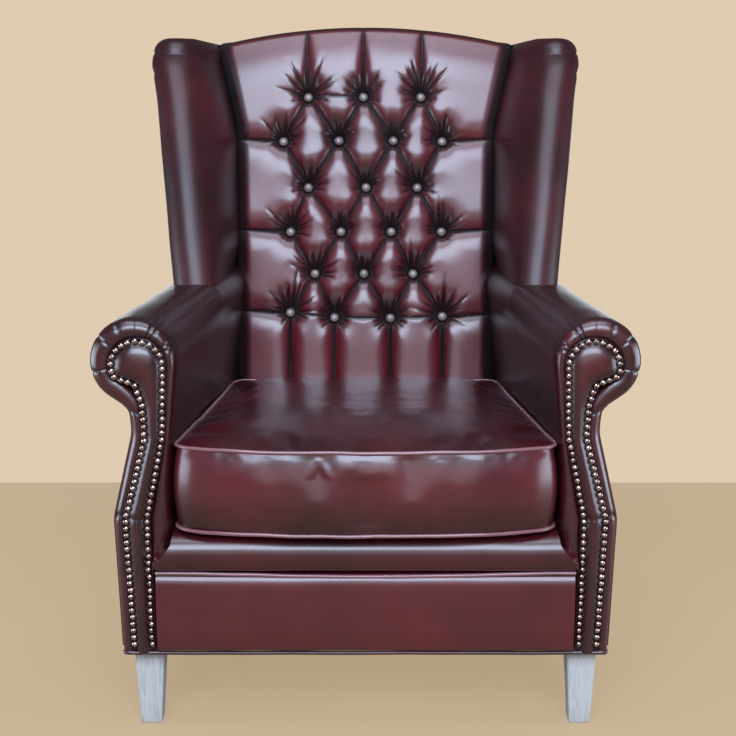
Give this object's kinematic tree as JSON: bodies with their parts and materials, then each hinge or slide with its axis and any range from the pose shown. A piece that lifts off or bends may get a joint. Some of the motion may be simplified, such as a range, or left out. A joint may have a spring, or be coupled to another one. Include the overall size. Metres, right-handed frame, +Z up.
{
  "type": "chesterfield wing chair",
  "caption": "Deep-buttoned leather wing armchair with scroll arms, studded facings, a loose piped seat cushion and tapered wooden legs.",
  "frame": {"origin": "on the floor, below the middle of the chair", "axes": "+Z up, the front faces -Y, +X to the right of a viewer in front"},
  "size_m": [0.8, 0.7974, 1.0604],
  "materials": {
    "oxblood_leather": "glossy antiqued oxblood",
    "piping_leather": "glossy",
    "button_leather": "satin",
    "beech_frame": "sawn",
    "limed_oak": "limed, satin",
    "antique_brass": "antiqued",
    "zinc_steel": "zinc plated",
    "spring_steel": "plain",
    "foam": "foam",
    "webbing": "woven elastic",
    "deck_cloth": "plain platform cloth",
    "black_cloth": "non-woven"
  },
  "bodies": {
    "chair": {"back_buttons": "button_leather", "back_cover": "oxblood_leather", "back_foam": "foam", "back_webbing": "webbing", "base_piping": "piping_leather", "border_piping": "piping_leather", "corner_blocks": "beech_frame", "dust_cover": "black_cloth", "front_border": "oxblood_leather", "front_left_leg": "limed_oak", "front_right_leg": "limed_oak", "front_roll": "oxblood_leather", "front_seat_rail": "beech_frame", "left_arm_cover": "oxblood_leather", "left_arm_facing": "oxblood_leather", "left_arm_front_band": "oxblood_leather", "left_arm_pad": "foam", "left_arm_rail": "beech_frame", "left_arm_studs": "antique_brass", "left_arm_stump": "beech_frame", "left_back_post": "beech_frame", "left_outside_arm": "oxblood_leather", "left_outside_wing": "oxblood_leather", "left_side_seat_rail": "beech_frame", "left_wing_cover": "oxblood_leather", "left_wing_foam": "foam", "left_wing_frame": "beech_frame", "leg_bolts": "zinc_steel", "lower_back_rail": "beech_frame", "outside_back": "oxblood_leather", "rear_left_leg": "limed_oak", "rear_right_leg": "limed_oak", "rear_seat_rail": "beech_frame", "right_arm_cover": "oxblood_leather", "right_arm_facing": "oxblood_leather", "right_arm_front_band": "oxblood_leather", "right_arm_pad": "foam", "right_arm_rail": "beech_frame", "right_arm_studs": "antique_brass", "right_arm_stump": "beech_frame", "right_back_post": "beech_frame", "right_outside_arm": "oxblood_leather", "right_outside_wing": "oxblood_leather", "right_side_seat_rail": "beech_frame", "right_wing_cover": "oxblood_leather", "right_wing_foam": "foam", "right_wing_frame": "beech_frame", "seat_deck": "deck_cloth", "seat_springs": "spring_steel", "spring_clips": "spring_steel", "top_back_rail": "beech_frame"},
    "seat_cushion": {"cushion_cover": "oxblood_leather", "cushion_foam": "foam", "cushion_top_piping": "piping_leather", "cushion_bottom_piping": "piping_leather"}
  },
  "joints": [
    {"name": "cushion_pull", "type": "slide", "parent": "chair", "child": "seat_cushion", "axis": [0, -0.9997, 0.0262], "range_m": [0, 0.56]}
  ]
}
